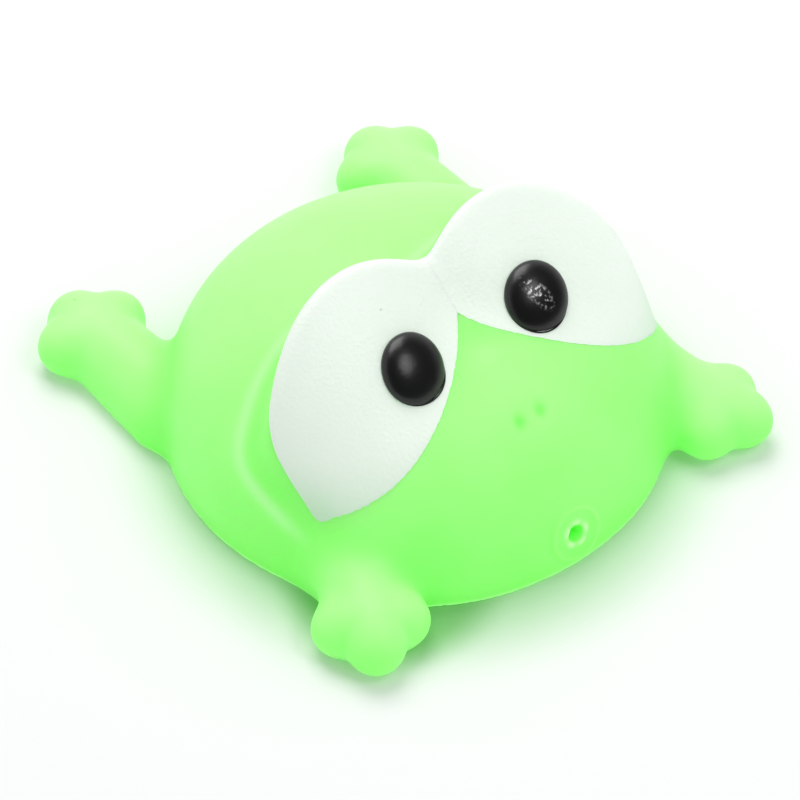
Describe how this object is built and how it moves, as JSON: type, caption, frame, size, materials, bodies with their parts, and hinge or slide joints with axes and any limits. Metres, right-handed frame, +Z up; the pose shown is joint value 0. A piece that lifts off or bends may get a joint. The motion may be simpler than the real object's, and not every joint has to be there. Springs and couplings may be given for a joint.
{
  "type": "squeaky bath frog",
  "caption": "Hollow soft-vinyl frog lying on its flat belly, with bulging painted eyes, four three-toed feet, a squirt hole under the nose and a push-in squeaker in the belly.",
  "frame": {"origin": "centre of the bounding box at the level of the table that the belly rests on", "axes": "+Z up, -Y the way the frog faces, +X the frog's left"},
  "size_m": [0.087, 0.0931, 0.0412],
  "materials": {
    "green_vinyl": "satin, slightly translucent soft vinyl",
    "white_paint": "satin sprayed paint",
    "black_paint": "gloss paint",
    "squeaker_plastic": "smooth moulded plastic",
    "reed_film": "thin springy film"
  },
  "bodies": {
    "base": {"body_shell": "green_vinyl", "squeaker_housing": "squeaker_plastic", "squeaker_grille": "squeaker_plastic", "reed_holder": "squeaker_plastic"},
    "crown": {"eye_white_left": "white_paint", "eye_white_right": "white_paint", "pupil_left": "black_paint", "pupil_right": "black_paint"},
    "tongue": {"reed": "reed_film"}
  },
  "joints": [
    {"name": "squeeze", "type": "slide", "parent": "base", "child": "crown", "axis": [0, 0, -1], "range_m": [0, 0.012], "stiffness_N_per_m": 900, "deforming": ["body_shell"]},
    {"name": "reed_flutter", "type": "hinge", "parent": "base", "child": "tongue", "pos_m": [0, -0.00568, 0.0056], "axis": [1, 0, 0], "range_deg": [-1, 4], "stiffness_Nm_per_rad": 0.0002}
  ]
}
